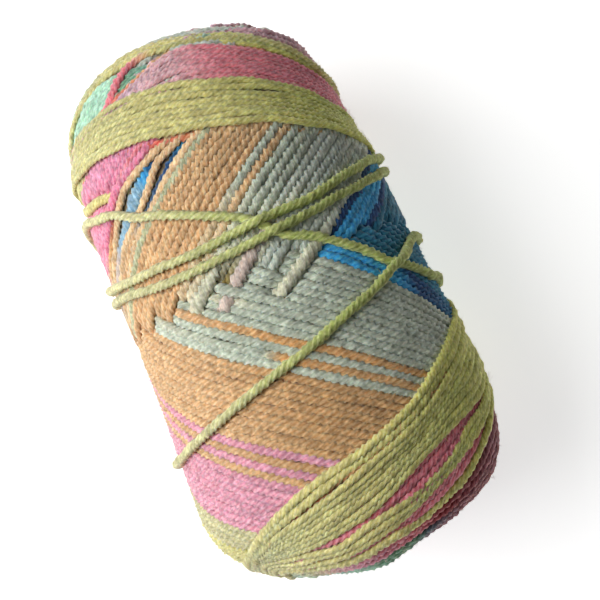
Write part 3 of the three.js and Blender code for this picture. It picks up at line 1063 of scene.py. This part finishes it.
def inner_windings():
    """The deeper windings, closed, which show only between the strands."""
    s = np.linspace(surface.s[0] + 0.5, surface.s[-1] - 0.5, 80)
    around = np.arange(64) * 2 * math.pi / 64
    grid_s, grid_a = np.meshgrid(s, around, indexing="ij")
    points, _, _ = surface.at(grid_a.ravel(), grid_s.ravel())
    rows, columns = len(s), len(around)
    points = np.concatenate([points, [[0, surface.y[0], 0], [0, surface.y[-1], 0]]])
    i = np.arange(rows - 1)[:, None]
    j = np.arange(columns)[None, :]
    quads = np.stack(
        [(i * columns + j).ravel(), ((i + 1) * columns + j).ravel(),
         ((i + 1) * columns + (j + 1) % columns).ravel(), (i * columns + (j + 1) % columns).ravel()], 1,
    )[:, ::-1]
    low, high = len(points) - 2, len(points) - 1
    caps = []
    for k in range(columns):
        n = (k + 1) % columns
        caps.append((low, k, n))
        caps.append((high, (rows - 1) * columns + n, (rows - 1) * columns + k))
    # crown is zero all over, so these windings get the material's painted groove shade.
    part = {
        "vertices": points, "quads": quads, "caps": caps, "crown": np.zeros(len(points)),
        "dye": np.tile(linear(INNER_DYE), (len(points), 1)), "fibre": points,
    }
    piece = build_mesh("inner_windings", [part])
    finish_piece(piece)
    return piece


def triangles(parts):
    return sum(2 * len(part["quads"]) + len(part["caps"]) for part in parts)


def strand_pieces():
    groups = {}
    shown = []
    for run, height in winding.strands:
        for places, closed in winding.shown(run, height):
            groups.setdefault(run.piece, []).append(strand_mesh(run, height, places, closed))
            shown.append((run, height, places))
    groups["fuzz"] = [fuzz(shown)]
    whole = 0
    for name, parts in groups.items():
        finish_piece(build_mesh(name, parts))
        print(name, len(parts), "stretches", triangles(parts), "triangles")
        whole += triangles(parts)
    print("strands in all", whole, "triangles")


core = inner_windings()
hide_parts("wound_skein")
strand_pieces()


# Floor, light and camera

def add_floor():
    mesh = bpy.data.meshes.new("floor")
    size = 3.0
    mesh.from_pydata(
        [(-size, -size, 0), (size, -size, 0), (size, size, 0), (-size, size, 0)], [], [(0, 1, 2, 3)],
    )
    floor = bpy.data.objects.new("floor", mesh)
    bpy.context.scene.collection.objects.link(floor)
    material = bpy.data.materials.new("pale_floor")
    material.use_nodes = True
    shader = material.node_tree.nodes["Principled BSDF"]
    shader.inputs["Base Color"].default_value = (0.92, 0.92, 0.92, 1)
    shader.inputs["Roughness"].default_value = 0.9
    shader.inputs["Emission Color"].default_value = (1, 1, 1, 1)
    shader.inputs["Emission Strength"].default_value = 0.62
    mesh.materials.append(material)


def add_area(name, place, aim, size, power, colour=(1, 1, 1)):
    light = bpy.data.lights.new(name, "AREA")
    light.size = size
    light.energy = power
    light.color = colour
    lamp = bpy.data.objects.new(name, light)
    lamp.location = place
    lamp.rotation_euler = (Vector(aim) - Vector(place)).to_track_quat("-Z", "Y").to_euler()
    bpy.context.scene.collection.objects.link(lamp)


def add_world(strength):
    world = bpy.data.worlds.new("studio")
    world.use_nodes = True
    world.node_tree.nodes["Background"].inputs["Color"].default_value = (1, 1, 1, 1)
    world.node_tree.nodes["Background"].inputs["Strength"].default_value = strength
    bpy.context.scene.world = world


CAMERA_DISTANCE = 0.330
CAMERA_LEAN = math.radians(8.0)  # the near end of the axis tips towards the camera by this
PHOTO_TURN = math.radians(24.1)  # the axis lies this far from upright in the photo
PHOTO_MIDDLE = (274.2, 292.7)  # where the middle of the axis lies in the photo, in its 600 pixels
FOCAL_PIXELS = 1155.0
PHOTO_SIZE = 600.0


def add_camera():
    elevation = math.pi / 2 - CAMERA_LEAN
    azimuth = math.atan(-math.tan(PHOTO_TURN) * math.sin(elevation))
    back = Vector(
        (math.sin(azimuth) * math.cos(elevation), -math.cos(azimuth) * math.cos(elevation), math.sin(elevation))
    )
    right = Vector((math.cos(azimuth), math.sin(azimuth), 0))
    up = back.cross(right)
    back, right, up = TILT @ back, TILT @ right, TILT @ up
    camera_data = bpy.data.cameras.new("camera")
    camera_data.sensor_width = 36.0
    camera_data.lens = FOCAL_PIXELS / PHOTO_SIZE * camera_data.sensor_width
    camera_data.shift_x = (PHOTO_SIZE / 2 - PHOTO_MIDDLE[0]) / PHOTO_SIZE
    camera_data.shift_y = (PHOTO_MIDDLE[1] - PHOTO_SIZE / 2) / PHOTO_SIZE
    camera_data.clip_start = 0.01
    camera = bpy.data.objects.new("camera", camera_data)
    place = Vector(AXIS_AT) * MM + back * CAMERA_DISTANCE
    turned = Matrix((right, up, back)).transposed().to_4x4()
    camera.matrix_world = Matrix.Translation(place) @ turned
    bpy.context.scene.collection.objects.link(camera)
    bpy.context.scene.camera = camera


add_floor()
add_world(0.1)
add_area("window", (-0.62, 0.22, 0.62), (0, 0, 0.04), 0.7, 8.7)
add_area("fill", (0.26, -0.22, 0.1), (0.02, -0.03, 0.04), 0.12, 0.04)
add_camera()
bpy.context.scene.view_settings.view_transform = "Standard"
